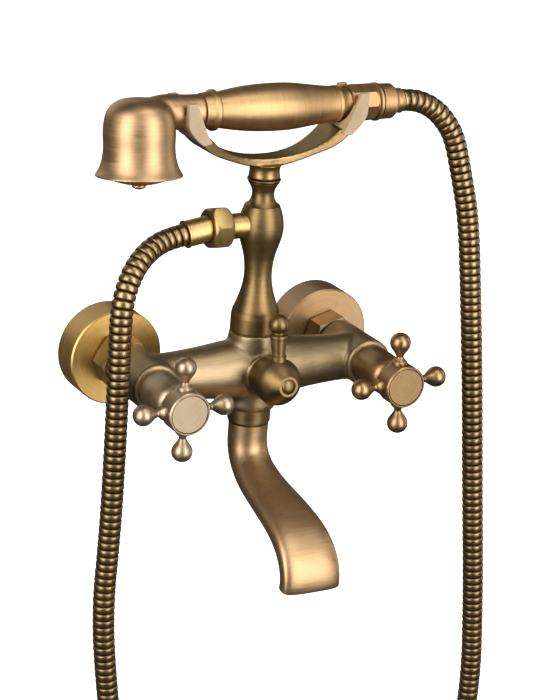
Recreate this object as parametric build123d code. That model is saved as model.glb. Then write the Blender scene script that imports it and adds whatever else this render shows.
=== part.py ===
from build123d import *
import math
import os

# A wall mounted bath and shower mixer: exposed body on two eccentric unions, cross handles, swivel spout,
# telephone style cradle with a bell shaped handset, and a ribbed hose. Millimetres. The wall is y = 0 and
# the object stands out towards -y; +z is up. The origin is midway between the two wall threads.

# overall places
inlet_spacing = 150.0    # between the two valve axes and the two wall threads
valve_rise = 5.0         # the eccentric unions lift the valves this far above the wall threads
body_reach = 62.0        # from the wall to the body's own axis
side_x = inlet_spacing / 2
fit = 0.05               # radial clearance of parts that turn or slide in each other
gap = 0.3                # air between pieces that move past each other
wall = 1.2               # thickness of pressed shells

# flanges and unions
flange_r = 31.0
flange_depth = 21.0
flange_hole_r = 14.2
flange_edge = 0.9
half_inch_r = 10.48      # G1/2 male thread
three_quarter_r = 13.2   # G3/4 male thread
wall_thread = 20.0       # how far the wall thread stands out behind the wall plane
union_bore_r = 7.0
union_waist_r = 13.6
union_nut_af = 30.0
union_nut_back = 22.0    # from the wall
union_nut_length = 15.5
union_nut_turn = (-3.0, 15.0)
washer_thickness = 2.0
tail_collar = 2.5
tail_r = 11.2
tail_bore_r = 8.0
tail_depth = 13.5        # thread length inside the body

# body casting
sleeve_r = 15.6
sleeve_back = 38.5       # from the wall
sleeve_front = 81.0
arm_r = 15.3
arm_root_r = 18.0
arm_root_x = 24.0
centre_r = 16.6
centre_top = 24.5        # above the valve axis
centre_bottom = -25.5
chamber_r = 10.3
chamber_back = 64.0
seat_r = 8.0
waterway_r = 5.0
waterway_y = 70.0
centre_bore_r = 8.85
blend = 3.0

# valves and handles
bonnet_r = 13.0
bonnet_front_r = 11.6
bonnet_front = 108.5
hub_r = 13.6
hub_back = 109.5
hub_face = 126.6
cap_r = 12.2
cap_thickness = 3.0
knob_r = 6.5
knob_centre = 26.7
spoke_plane = 117.7
spoke_neck_r = 2.3
spoke_foot_r = 4.7
spindle_r = 4.0
disc_r = 8.6
disc_thickness = 3.0
handle_turn = (0.6, 2.8)

# diverter
diverter_tilt = 6.0
diverter_base_y = 82.5
diverter_base_z = 0.5
boss_r = 13.5
knob_body_r = 15.0
knob_body_length = 16.0
knob_nose = 12.5
knob_seat_r = 5.4
lever_foot = 14.0
lever_ball_centre = 36.5
lever_ball_r = 6.4
lever_place = 14.5
spool_r = 8.7
diverter_bore_r = 8.8

# spout
swivel_nut_r = 13.6
swivel_nut_height = 10.5
nipple_r = 11.2
spout_top_r = 12.8
spout_wall = 2.2
spout_tail_r = 8.5
spout_tail_height = 24.0
spout_mouth_width = 39.5
spout_mouth_depth = 13.0

# column
collar_r = 15.5
collar_height = 14.5
column_top = 106.5
neck_top = 123.6
stem_r = 9.9
stem_bottom = 124.0
shank_r = 9.0
column_bore_r = 5.0
outlet_z = 94.0
nipple_outer_r = 7.9
hose_nut_af = 24.0
hose_nut_start = 24.0
hose_nut_length = 13.0
ferrule_r = 8.2
ferrule_length = 16.0
ferrule_droop = 9.0

# cradle and handset
cradle_z = 137.5         # inner face of the crescent, above the valve axis
handset_z = 168.2
handset_tilt = 0.7
neck_r = 10.2
prong_half = 15.8
fork_x = 57.0
bell_x = 87.0
bell_r = 21.9
mouth_r = 26.6
mouth_z = -37.0          # below the handset axis
head_lean = 7.0
handle_bulge_r = 14.7

# hose
hose_r = 7.0
hose_route = [           # the hose's own line, from the column's ferrule to the handset's
    (-61.2, -62.0, 90.1), (-72.4, -64.3, 87.5), (-85.6, -70.2, 81.2), (-95.4, -75.8, 70.1),
    (-101.5, -79.9, 53.7), (-101.7, -80.9, 21.8), (-101.5, -80.5, -32.0), (-101.0, -78.0, -90.0),
    (-103.0, -75.5, -150.0), (-94.5, -73.0, -215.0), (-83.0, -72.0, -285.0), (-66.0, -71.0, -360.0),
    (-36.0, -70.5, -435.0), (14.0, -70.0, -502.0), (84.0, -70.0, -508.0), (132.0, -71.5, -460.0),
    (159.0, -74.0, -390.0), (172.0, -77.0, -320.0), (178.5, -79.5, -250.0), (172.5, -80.5, -180.0),
    (163.5, -80.5, -100.0), (156.0, -79.0, -22.0), (150.3, -76.0, 38.0), (145.2, -73.3, 88.2),
    (138.1, -69.7, 120.2), (132.9, -66.4, 142.7), (124.5, -64.3, 154.7), (117.1, -63.1, 161.0),
    (109.4, -62.4, 164.9), (101.2, -62.0, 166.97),
]

# ---- helpers -------------------------------------------------------------------------------------


def lathe(start, *steps):
    """A solid turned about Z from (radius, height) points; a list of points is one smooth curve."""
    edges = []
    here = start
    for step in steps:
        run = [here, *step] if isinstance(step, list) else [here, step]
        points = [(radius, 0, height) for radius, height in run]
        edges.append(Spline(*points) if len(points) > 2 else Line(*points))
        here = run[-1]
    edges.append(Line((here[0], 0, here[1]), (start[0], 0, start[1])))
    return revolve(make_face(edges), Axis.Z)


def rod(radius, bottom, top):
    return Pos(0, 0, (bottom + top) / 2) * Cylinder(radius, top - bottom)


def ring(outer, inner, bottom, top):
    return rod(outer, bottom, top) - rod(inner, bottom - 1, top + 1)


def nut_bar(sides, across_flats, bottom, top, chamfer=1.2):
    """A bar with flats, both ends turned off at a slope, as on a nut."""
    corner = across_flats / 2 / math.cos(math.pi / sides)
    low = across_flats / 2 + 0.2
    bar = Pos(0, 0, bottom) * extrude(RegularPolygon(corner, sides), top - bottom)
    blank = lathe((0, bottom), (low, bottom), (corner, bottom + chamfer), (corner, top - chamfer),
                  (low, top), (0, top))
    return bar & blank


def o_ring(major, minor, height):
    return Pos(0, 0, height) * Torus(major, minor)


def group(solids):
    return Compound(children=list(solids))


def outward(x, height=0.0):
    """Stands a turned piece on the wall at x, its heights measured out from the wall."""
    return Pos(x, 0, valve_rise + height) * Rot(90, 0, 0)


upright = Pos(0, -body_reach, valve_rise)
side_places = {"left": -side_x, "right": side_x}

# ---- wall connection -----------------------------------------------------------------------------

nut_front = union_nut_back + union_nut_length
nut_lip = 2.0
tail_collar_back = nut_front - nut_lip - tail_collar
union_front = tail_collar_back - washer_thickness
waist_back = 1.0
waist_front = 8.0


def make_flange():
    face_back = flange_depth - wall
    return lathe(
        (flange_hole_r, face_back), (flange_r - wall, face_back), (flange_r - wall, 0), (flange_r, 0),
        (flange_r, flange_depth - flange_edge), (flange_r - flange_edge, flange_depth),
        (flange_hole_r, flange_depth),
    )


def make_eccentric_union():
    drop = Pos(0, -valve_rise, 0)
    waist_r = half_inch_r + valve_rise + 0.4
    solid = drop * rod(half_inch_r, -wall_thread, waist_front - 1)
    solid += rod(waist_r, waist_back, waist_front)
    solid += rod(three_quarter_r, waist_front - 1, union_front)
    solid -= drop * rod(union_bore_r, -wall_thread - 1, waist_front - 2)
    return solid - rod(union_bore_r, waist_back + 1.5, union_front + 1)


def make_union_nut(turn):
    nut = Rot(0, 0, turn) * nut_bar(6, union_nut_af, union_nut_back, nut_front)
    nut -= rod(three_quarter_r + fit, union_nut_back - 1, nut_front - nut_lip)
    return nut - rod(tail_r + gap, union_nut_back, nut_front + 1)


def make_inlet_tail():
    tail = rod(three_quarter_r - gap, tail_collar_back, tail_collar_back + tail_collar)
    tail += rod(tail_r, tail_collar_back, sleeve_back + tail_depth)
    return tail - rod(tail_bore_r, tail_collar_back - 1, sleeve_back + tail_depth + 1)


# ---- body casting --------------------------------------------------------------------------------

diverter_base = Pos(0, -diverter_base_y, valve_rise + diverter_base_z) * Rot(90 - diverter_tilt, 0, 0)
nipple_bottom = centre_bottom - 6.0
shank_bottom = 12.0
boss_length = 20.0


def make_body_skin():
    """The outside of the casting, before its waterways are bored."""
    sleeve = lathe(
        (0, sleeve_back), (sleeve_r - 1.4, sleeve_back), (sleeve_r, sleeve_back + 1.4),
        (sleeve_r, sleeve_front - 1.2), (sleeve_r - 1.2, sleeve_front), (0, sleeve_front),
    )
    half_arm = lathe(
        (0, 0), (arm_root_r + 0.6, 0),
        [(arm_root_r, arm_root_x), ((arm_root_r + arm_r) / 2, arm_root_x + 12), (arm_r, 54), (arm_r, side_x)],
        (0, side_x),
    )
    centre = lathe(
        (0, centre_bottom), (centre_r - 1.0, centre_bottom), (centre_r - 0.2, centre_bottom + 3),
        [(centre_r + 0.4, 0), (centre_r, centre_top - 8), (collar_r + 0.2, centre_top)], (0, centre_top),
    )
    skin = upright * (Rot(0, 90, 0) * half_arm + Rot(0, -90, 0) * half_arm + centre)
    skin = fillet(root_edges(skin), blend)
    boss = lathe((0, -boss_length), (boss_r, -boss_length), (boss_r, -0.8), (boss_r - 0.8, 0), (0, 0))
    skin += outward(-side_x) * sleeve + outward(side_x) * sleeve + diverter_base * boss
    return skin + upright * rod(nipple_r, nipple_bottom, centre_bottom + 1)


def root_edges(skin):
    """The edges where the arms run into the centre boss."""
    reach = centre_r + 4
    return [
        edge for edge in skin.edges()
        if 2 < abs(edge.center().X) < reach and edge.length > 10
        and centre_bottom + 2 < edge.center().Z - valve_rise < centre_top - 2
    ]


def make_valve_body():
    body = make_body_skin()
    for x in side_places.values():
        body -= outward(x) * rod(tail_r, sleeve_back - 1, sleeve_back + tail_depth)
        body -= outward(x) * rod(union_bore_r, sleeve_back + tail_depth - 1, chamber_back + 1)
        body -= outward(x) * rod(chamber_r, chamber_back, sleeve_front + 1)
    body -= Pos(0, -waterway_y, valve_rise) * Rot(0, 90, 0) * rod(waterway_r, -side_x, side_x)
    body -= upright * rod(centre_bore_r, nipple_bottom - 1, shank_bottom + 1)
    body -= upright * rod(shank_r, shank_bottom, centre_top + 1)
    return body - diverter_base * rod(diverter_bore_r, -boss_length, 1)


# ---- valves and handles --------------------------------------------------------------------------

seal_back = chamber_back
fixed_disc_back = seal_back + 2.0
moving_disc_back = fixed_disc_back + disc_thickness + fit
spindle_back = moving_disc_back + disc_thickness
spindle_head = 2.5
cage_front = sleeve_front
guide_front = 103.0
guide_r = 8.4
spindle_front = 118.0
cap_back = hub_face - cap_thickness
screw_head_back = 119.0
screw_head_r = 3.6
screw_r = 2.0


def make_disc(back):
    """A lapped ceramic disc with two water ports."""
    disc = rod(disc_r, back, back + disc_thickness)
    for side in (-1, 1):
        disc -= Pos(side * disc_r / 2, 0, 0) * rod(2.4, back - 1, back + disc_thickness + 1)
    return disc


def make_cartridge():
    cage = ring(chamber_r, disc_r + fit, fixed_disc_back, cage_front - 3)
    cage += ring(chamber_r, spindle_r + fit, spindle_back + spindle_head + fit, cage_front)
    cage += ring(guide_r, spindle_r + fit, cage_front - 1, guide_front)
    return cage - Pos(0, 0, waterway_y + 1.5) * Rot(0, 90, 0) * rod(3.4, -chamber_r - 1, chamber_r + 1)


def make_bonnet():
    """The shroud that covers the valve between the body and the handle."""
    start = sleeve_front + fit
    outer = lathe((0, start), (bonnet_r, start), (bonnet_r, start + 15),
                  [(12.6, start + 20.5), (bonnet_front_r, start + 24.5), (9.4, bonnet_front)], (0, bonnet_front))
    inner = lathe((0, start - 1), (bonnet_r - 1.8, start - 1), (bonnet_r - 1.8, start + 14),
                  (guide_r, start + 17), (guide_r, guide_front), (spindle_r + 0.6, guide_front),
                  (spindle_r + 0.6, bonnet_front + 1), (0, bonnet_front + 1))
    return outer - inner


def make_hub():
    hub = lathe(
        (spindle_r, hub_back), (9.6, hub_back), [(12.4, hub_back + 2.4), (hub_r, hub_back + 5.5)],
        (hub_r, hub_face - 0.7), (hub_r - 0.7, hub_face), (cap_r + fit, hub_face), (cap_r + fit, cap_back),
        (screw_head_r + gap, cap_back), (screw_head_r + gap, screw_head_back - 1),
        (spindle_r, screw_head_back - 1),
    )
    for turn in range(0, 360, 90):
        hub -= spoke_place(turn) * rod(1.6, 8.5, hub_r + 1)
    return hub


def spoke_place(turn):
    """Stands a spoke, turned about its own length, square on the handle's axis."""
    return Rot(0, 0, turn) * Pos(0, 0, spoke_plane) * Rot(0, 90, 0)


def make_spoke():
    start = 12.2
    spoke = lathe(
        (0, 9.0), (1.6, 9.0), (1.6, start), (spoke_foot_r, start), (spoke_foot_r, hub_r + 0.7),
        [(4.0, 15.3), (2.7, 16.7), (spoke_neck_r, 18.2)],
        [(3.2, 20.0), (5.0, 22.6), (6.2, 24.9), (knob_r, knob_centre + 0.3), (6.0, 29.6), (4.0, 32.0),
         (0, knob_centre + knob_r)],
    )
    return spoke - Rot(0, -90, 0) * Pos(0, 0, -spoke_plane) * ring(hub_r, 6.0, hub_back, hub_face)


def make_spokes():
    spoke = make_spoke()
    return [spoke_place(turn) * spoke for turn in range(0, 360, 90)]


def make_spindle():
    spindle = rod(disc_r - 0.3, spindle_back, spindle_back + spindle_head)
    spindle += rod(spindle_r, spindle_back, spindle_front)
    return spindle - rod(screw_r, spindle_front - 12, spindle_front + 1)


def make_handle_screw():
    head = rod(screw_head_r, screw_head_back - 1, screw_head_back + 2)
    head -= Pos(0, 0, screw_head_back + 1) * extrude(RegularPolygon(1.7, 6), 2)
    return head + rod(screw_r, spindle_front - 10, screw_head_back)


def make_cap():
    """The flat index cap, set into the hub's face with a thin groove round it."""
    return lathe((0, cap_back + 1), (cap_r, cap_back + 1), (cap_r, hub_face - 0.9),
                 (cap_r - 0.6, hub_face - 0.15), (0, hub_face - 0.15))


# ---- diverter ------------------------------------------------------------------------------------

spool_front = -3.2
gland_front = -0.2
stem_front = 16.0
nose_start = knob_body_length
nose_end = nose_start + knob_nose


def make_knob_skin():
    return lathe(
        (0, gap), (boss_r - 0.3, gap), (knob_body_r, nose_start - 1.5),
        [(knob_body_r - 0.5, nose_start + 1.2), (12.6, nose_start + 5.0), (9.4, nose_start + 9.0),
         (knob_seat_r + 1.0, nose_end)], (0, nose_end),
    )


def make_diverter_knob():
    knob = make_knob_skin() - rod(knob_seat_r - 0.6, nose_end - 3.5, nose_end + 1)
    knob -= ring(11.6, 6.0, -1, nose_start - 2)
    knob -= rod(6.2, -1, 2)
    knob -= rod(spindle_r, -1, stem_front)
    knob -= rod(screw_r, 0, nose_end)
    return knob - lever_place_on_knob() * rod(screw_r, 9, knob_body_r + 1)


def lever_place_on_knob():
    return Pos(0, 0, lever_place) * Rot(-90, 0, 0)


def make_lever():
    ball_bottom = lever_ball_centre - math.sqrt(lever_ball_r ** 2 - 4.2 ** 2)
    pin = lathe(
        (0, 9.5), (screw_r, 9.5), (screw_r, 13.0), (5.0, 13.0), (5.0, 16.6), (4.2, 17.4), (4.2, 18.6),
        (5.0, 27.6), (5.6, 28.2), (5.6, 29.8), (4.2, 30.6), (4.2, ball_bottom), (0, ball_bottom),
    )
    pin += Pos(0, 0, lever_ball_centre) * Sphere(lever_ball_r)
    pin = lever_place_on_knob() * pin
    return pin - (make_knob_skin() - rod(9.5, gap - 1, nose_start + 6))


def make_diverter_button():
    button = lathe((0, nose_end - 3.4), (knob_seat_r - 0.7, nose_end - 3.4), (knob_seat_r - 0.7, nose_end - 0.6),
                   [(3.6, nose_end + 0.7), (1.8, nose_end + 1.3), (0, nose_end + 1.5)])
    return button + rod(screw_r, stem_front - 8, nose_end - 3)


def make_spool():
    spool = rod(spool_r, -boss_length + 0.4, spool_front) + rod(spindle_r, spool_front - 1, stem_front)
    spool -= Pos(0, 0, -12.0) * Rot(0, 90, 0) * rod(3.4, -spool_r - 1, spool_r + 1)
    spool -= rod(screw_r, stem_front - 9, stem_front + 1)
    for height in (-17.2, -5.8):
        spool -= ring(spool_r + 1, spool_r - 1.35, height - 0.7, height + 0.7)
    return spool


def make_gland():
    return ring(diverter_bore_r, spindle_r + fit, spool_front + 0.2, gland_front)


# ---- spout ---------------------------------------------------------------------------------------

swivel_bottom = centre_bottom - swivel_nut_height
lip_top = swivel_bottom + 2.4
spout_top = swivel_bottom - gap
clip_top = nipple_bottom - gap
tail_top = spout_top + spout_tail_height
spout_stations = [       # y, z, lean forward in degrees, width, depth and squareness of each section
    (-62.0, spout_top, 0, 2 * spout_top_r, 2 * spout_top_r, 2.0),
    (-62.0, -46.0, 2, 25.4, 25.0, 2.0),
    (-64.4, -56.5, 24, 25.8, 23.6, 2.05),
    (-72.5, -65.0, 52, 27.0, 21.6, 2.15),
    (-86.0, -71.0, 70, 29.4, 19.6, 2.3),
    (-102.0, -75.0, 76, 32.0, 18.0, 2.5),
    (-119.0, -79.0, 75, 34.6, 16.6, 2.8),
    (-135.0, -84.5, 64, 36.8, 15.4, 3.1),
    (-147.0, -93.0, 42, 38.4, 14.4, 3.4),
    (-152.8, -103.0, 12, 39.2, 13.6, 3.6),
    (-153.2, -112.6, -10, spout_mouth_width, spout_mouth_depth, 3.8),
]


def spout_section(y, z, lean, width, depth, square, inset):
    """One cross-section of the spout: an ellipse that grows squarer towards the mouth."""
    count = 20
    points = []
    for step in range(count):
        angle = 2 * math.pi * step / count
        x = math.copysign(abs(math.cos(angle)) ** (2 / square), math.cos(angle))
        v = math.copysign(abs(math.sin(angle)) ** (2 / square), math.sin(angle))
        points.append(((width / 2 - inset) * x, (depth / 2 - inset) * v))
    outline = Spline(*points, periodic=True)
    return Pos(0, y, valve_rise + z) * Rot(-lean, 0, 0) * make_face(outline)


def make_spout():
    skin = loft([spout_section(*station, 0) for station in spout_stations])
    hollow = loft([spout_section(*station, spout_wall) for station in spout_stations])
    spout = skin - hollow
    tail = ring(spout_tail_r, spout_tail_r - 2.4, spout_top - 3, tail_top)
    tail += ring(spout_top_r - 0.4, spout_tail_r - 2.4, spout_top - 3, spout_top)
    for height in tail_ring_heights:
        tail -= ring(spout_tail_r + 1, spout_tail_r - 1.15, height - 0.75, height + 0.75)
    tail -= ring(spout_tail_r + 1, spout_tail_r - 0.6, clip_top - 1.2, clip_top)
    return spout + upright * tail


tail_ring_heights = (tail_top - 4, tail_top - 8.5)


def make_swivel_nut():
    nut = lathe((0, swivel_bottom), (swivel_nut_r - 0.9, swivel_bottom), (swivel_nut_r, swivel_bottom + 1.4),
                (swivel_nut_r, centre_bottom - 0.6), (swivel_nut_r - 0.5, centre_bottom), (0, centre_bottom))
    nut -= rod(nipple_r, lip_top, centre_bottom + 1)
    return nut - rod(spout_tail_r + gap, swivel_bottom - 1, lip_top + 1)


# ---- column --------------------------------------------------------------------------------------

collar_top = centre_top + collar_height
stud_r = 4.0
bore_top = 97.0


def make_collar():
    return lathe((shank_r, centre_top), (collar_r - 0.2, centre_top), (collar_r, centre_top + 1.5),
                 (collar_r - 0.2, collar_top - 4), (collar_r - 0.9, collar_top), (shank_r, collar_top))


def make_vase_skin():
    return lathe(
        (0, collar_top), (14.2, collar_top), (13.8, collar_top + 1.5),
        [(11.8, 46.0), (9.6, 54.0), (8.7, 62.0), (8.95, 67.5), (9.9, 74.0), (12.2, 82.0), (14.0, 90.0),
         (14.1, 94.0), (13.4, 99.0), (10.9, column_top)], (0, column_top),
    )


def make_column():
    column = make_vase_skin() + rod(shank_r, shank_bottom, collar_top + 1)
    column -= rod(column_bore_r, shank_bottom - 1, bore_top)
    column -= rod(stud_r, bore_top + 3, column_top + 1)
    column -= ring(shank_r + 1, shank_r - 1.2, shank_bottom + 2, shank_bottom + 3.6)
    port = Pos(0, 0, outlet_z) * Rot(0, -90, 0)
    return column - port * rod(4.2, 0, 20) - port * rod(6.5, 9.0, 20)


def make_neck():
    neck = lathe(
        (0, column_top), (10.4, column_top), [(8.6, 108.4), (7.1, 112.0), (7.0, 115.0), (8.2, 118.6), (9.8, 121.2)],
        (10.0, 122.0), (9.4, 122.4), (10.5, 122.8), (10.5, neck_top - 0.3), (10.2, neck_top), (0, neck_top),
    )
    neck += rod(stud_r, bore_top + 3.4, column_top + 1)
    return neck - rod(stud_r, neck_top - 8, neck_top + 1)


# ---- hose outlet on the column -------------------------------------------------------------------

outlet = upright * Pos(0, 0, outlet_z) * Rot(0, -90, 0)
hose_thread_r = 10.3
hose_nut_end = hose_nut_start + hose_nut_length
thread_end = hose_nut_end - 6.0
flange_start = thread_end + washer_thickness
droop_place = Pos(0, 0, hose_nut_end - 0.5) * Rot(0, -ferrule_droop, 0)


def make_outlet_nipple():
    neck = rod(nipple_outer_r, 10.0, hose_nut_start + 1) - Rot(0, 90, 0) * Pos(0, 0, -outlet_z) * make_vase_skin()
    nipple = neck + rod(6.5, 9.2, 16) + rod(hose_thread_r - fit, hose_nut_start + 0.2, thread_end)
    nipple -= rod(4.6, 8, thread_end + 1)
    return nipple - rod(6.0, thread_end - 8, thread_end + 1)


def make_check_valve():
    body = ring(6.0, 3.4, thread_end - 8, thread_end - 0.5)
    return [body, rod(2.8, thread_end - 7, thread_end - 2)]


def make_column_hose_nut():
    nut = Rot(0, 0, 15) * nut_bar(6, hose_nut_af, hose_nut_start, hose_nut_end)
    nut -= rod(hose_thread_r, hose_nut_start - 1, hose_nut_end - 2.2)
    return nut - rod(ferrule_r + 0.6, hose_nut_start, hose_nut_end + 1)


def make_column_ferrule():
    ferrule = rod(hose_thread_r - 0.4, flange_start, flange_start + 1.6)
    ferrule += rod(ferrule_r - gap, flange_start, hose_nut_end - 0.6)
    ferrule += droop_place * lathe((0, -2.0), (ferrule_r, -2.0), (ferrule_r, ferrule_length - 1.4),
                                   (ferrule_r + 0.5, ferrule_length - 1.0), (ferrule_r + 0.5, ferrule_length),
                                   (0, ferrule_length))
    ferrule -= rod(4.0, flange_start - 1, hose_nut_end)
    return ferrule - droop_place * rod(4.4, -1, ferrule_length + 1)


# ---- cradle --------------------------------------------------------------------------------------

saddle = 0.25            # air under the handset's neck
slot_r = neck_r + saddle + gap
tail_ring_r = 11.4
tail_ring_end = 46.8
nut_slot_r = 12.5
nut_slot_x = 53.4
liner_wall = 1.2


def side_outline(points_up, points_down):
    """A face in the XZ plane for the right half, between its inner and its outer curve."""
    inner = Spline(*[(x, 0, z) for x, z in points_up])
    outer = Spline(*[(x, 0, z) for x, z in points_down])
    tip = Line(inner @ 1, outer @ 1)
    root = Line(inner @ 0, outer @ 0)
    return make_face([inner, tip, outer, root])


def slab(face, half_width):
    return extrude(face, half_width, dir=(0, 1, 0), both=True)


def plan_block(width_at):
    """A tall block whose width in Y follows (x, half width) pairs, for the right half."""
    right = [(x, y, 0) for x, y in width_at]
    near = Spline(*right)
    far = Spline(*[(x, -y, 0) for x, y, _ in right])
    face = make_face([near, far, Line(near @ 0, far @ 0), Line(near @ 1, far @ 1)])
    return Pos(0, 0, 100) * extrude(face, 100)


def slot_cut(side):
    """The room that the handset needs in a fork, open upwards."""
    rooms = [(slot_r, 30.0)]
    if side > 0:
        rooms += [(nut_slot_r, nut_slot_x)]
    place = Pos(0, 0, handset_z) * Rot(0, side * handset_tilt, 0)
    cut = place * Rot(0, 90, 0) * rod(tail_ring_r + saddle + gap, 30, tail_ring_end + 3 * gap)
    for radius, start in rooms:
        cut += place * Rot(0, 90, 0) * rod(radius, start, 90)
        cut += place * Pos((start + 90) / 2, 0, 20) * Box(90 - start, 2 * radius, 40)
    return cut


def mirrored(part, side):
    return part if side > 0 else mirror(part, Plane.YZ)


def make_fork_metal(side):
    """Half of the crescent with its two prongs, without the plastic liner."""
    face = side_outline(
        [(0, cradle_z), (12, cradle_z + 0.8), (24, cradle_z + 3.6), (36, cradle_z + 9.6), (45, cradle_z + 17.5),
         (52.5, cradle_z + 37)],
        [(0, cradle_z - 5.2), (14, cradle_z - 4.0), (30, cradle_z + 1.2), (45, cradle_z + 8.2),
         (53.5, cradle_z + 17.5), (59.5, cradle_z + 37)],
    )
    plan = plan_block([(0, 7.4), (20, 8.2), (38, 11.4), (50, 13.6), (60, 14.4)])
    fork = slab(face, 20) & plan
    cut = Pos(0, 0, handset_z) * Rot(0, 90, 0) * rod(nut_slot_r + 0.5, 25, 90)
    cut += Pos(55, 0, handset_z + 20) * Box(60, 2 * nut_slot_r + 1, 40)
    return fork - cut


def make_liner_skin(side):
    face = side_outline(
        [(38.5, cradle_z + 8.6), (43.6, cradle_z + 15.0), (47.5, cradle_z + 22), (51.2, cradle_z + 31),
         (53.4, cradle_z + 39.4)],
        [(50.0, cradle_z + 8.4), (54.0, cradle_z + 14.0), (57.6, cradle_z + 22), (60.0, cradle_z + 31),
         (61.6, cradle_z + 39.4)],
    )
    plan = plan_block([(30, 13.4), (44, 14.2), (54, prong_half - 0.2), (66, prong_half)])
    return (slab(face, 25) & plan) - slot_cut(side)


def make_liner(side):
    return mirrored(make_liner_skin(side) - make_fork_metal(side), side)


def make_cradle():
    stem = lathe((0, stem_bottom), (stem_r - 0.2, stem_bottom), (stem_r, stem_bottom + 1.0),
                 [(stem_r - 0.5, stem_bottom + 4), (stem_r - 0.2, stem_bottom + 7), (stem_r + 1.4, cradle_z - 4.0)],
                 (0, cradle_z - 4.0))
    fork = make_fork_metal(1)
    cradle = stem + fork + mirror(fork, Plane.YZ)
    return cradle - rod(stud_r, stem_bottom - 1, cradle_z - 2)


# ---- handset -------------------------------------------------------------------------------------

handset = upright * Pos(0, 0, handset_z) * Rot(0, handset_tilt, 0)
along = handset * Rot(0, 90, 0)
bell = handset * Pos(-bell_x, 0, 0) * Rot(-head_lean, 0, 0)
head_bore_r = 7.0
face_r = mouth_r - 2.1
collar_start = -46.5
handle_end = 44.6
handle_start = -36.6
tail_end = 54.0
handset_nut_af = 22.0
handset_nut_end = 72.0
swivel_ring_end = 76.4
swivel_end = 88.0
handset_ferrule_end = 92.8


def bell_profile(inset):
    """The bell's outer line from its crown to its mouth, moved inwards by the wall."""
    return [
        (8.0, 10.5 - inset), (14.6 - inset * 0.6, 7.7 - inset * 0.7), (19.2 - inset * 0.9, 2.6 - inset * 0.3),
        (21.3 - inset, -4.0), (bell_r - inset, -11.0), (21.5 - inset, -20.0), (22.2 - inset, -27.0),
        (mouth_r - inset, mouth_z),
    ]


def make_shower_head():
    shell = lathe((0, 10.9), bell_profile(0), (0, mouth_z))
    neck = rod(neck_r, -bell_x, collar_start) + rod(8.0, -bell_x, handle_start + 8)
    neck += ring(8.6, 8.0, collar_start - 1, collar_start + 0.0)
    head = bell * shell + along * neck
    head -= bell * lathe((0, 8.7), bell_profile(2.0), (0, mouth_z - 1))
    head -= bell * rod(face_r, mouth_z - 1, mouth_z + 2.4)
    return head - along * rod(head_bore_r - 1, -bell_x, handle_start + 9)


def make_spray_face():
    """The convex face that closes the bell's mouth."""
    return lathe((0, mouth_z - 5.6), [(8.0, mouth_z - 4.9), (17.0, mouth_z - 2.4), (face_r, mouth_z + 0.6)],
                 (face_r - 0.4, mouth_z + 2.4), (0, mouth_z + 2.4)) - rod(2.0, mouth_z - 8, mouth_z + 4)


def make_spray_screw():
    screw = lathe((0, mouth_z - 8.2), [(2.6, mouth_z - 7.9), (4.4, mouth_z - 6.6)], (4.4, mouth_z - 5.7),
                  (0, mouth_z - 5.7))
    return screw + rod(2.0, mouth_z - 6, mouth_z + 6)


def make_handset_collar():
    return lathe((8.0, collar_start), (10.6, collar_start), (11.0, collar_start + 2.5), (11.4, collar_start + 5.2),
                 (12.6, collar_start + 6.6), (12.6, collar_start + 8.4), (11.0, handle_start), (8.0, handle_start))


def make_handle():
    return lathe(
        (8.0, handle_start), (10.8, handle_start),
        [(12.1, -29.0), (13.5, -19.0), (14.35, -9.0), (handle_bulge_r, 3.0), (14.4, 14.0), (13.3, 24.0),
         (12.1, 33.0), (11.0, handle_end)], (8.0, handle_end),
    )


def make_handset_tail():
    tail = lathe((6.0, handle_end - 8), (8.0, handle_end - 8), (8.0, handle_end), (tail_ring_r, handle_end),
                 (tail_ring_r, tail_ring_end),
                 (10.4, 47.4), [(9.7, 49.4), (9.4, 51.6), (9.6, tail_end - 0.4)], (9.0, tail_end - 0.4),
                 (9.0, 66.0), (6.0, 66.0))
    return tail


def make_handset_nut():
    nut = nut_bar(8, handset_nut_af, tail_end, handset_nut_end, 1.6)
    nut -= rod(9.0, tail_end - 1, handset_nut_end - 3)
    return nut - rod(6.4, tail_end, handset_nut_end + 1)


def make_swivel_ring():
    return lathe((6.4, handset_nut_end), (10.4, handset_nut_end), (10.4, handset_nut_end + 1.2),
                 (12.0, handset_nut_end + 1.8), (12.0, handset_nut_end + 3.2), (10.4, handset_nut_end + 3.8),
                 (10.4, swivel_ring_end), (6.4, swivel_ring_end))


def make_swivel_body():
    start = swivel_ring_end + 0.2
    return lathe((4.0, 68.1), (8.4, 68.1), (8.4, 68.8), (6.2, 68.8), (6.2, start), (11.2, start), (11.0, swivel_end - 3.0),
                 (9.2, swivel_end - 0.6), (7.6, swivel_end), (4.0, swivel_end))


def make_handset_ferrule():
    face = handset_ferrule_end - 0.3      # clear of the hose, which starts at handset_ferrule_end
    return lathe((4.2, swivel_end), (7.5, swivel_end), (7.5, face - 1.0),
                 (7.9, face - 0.6), (7.9, face), (4.2, face))


# ---- hose ----------------------------------------------------------------------------------------


def hose_path():
    """Straight runs joined by tangent arcs, each as large as its two runs allow."""
    first = (outlet * droop_place * Pos(0, 0, ferrule_length)).position
    last = (along * Pos(0, 0, handset_ferrule_end)).position
    points = [first, *[Vector(x, y, z + valve_rise) for x, y, z in hose_route], last]
    radii = []
    for before, here, after in zip(points, points[1:], points[2:]):
        turn = (here - before).get_angle(after - here)
        shorter = min((here - before).length, (after - here).length)
        radii.append(0.45 * shorter / math.tan(math.radians(turn / 2)))
    print("hose bend radii:", [round(radius) for radius in radii])
    return FilletPolyline(*points, radius=radii)


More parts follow.
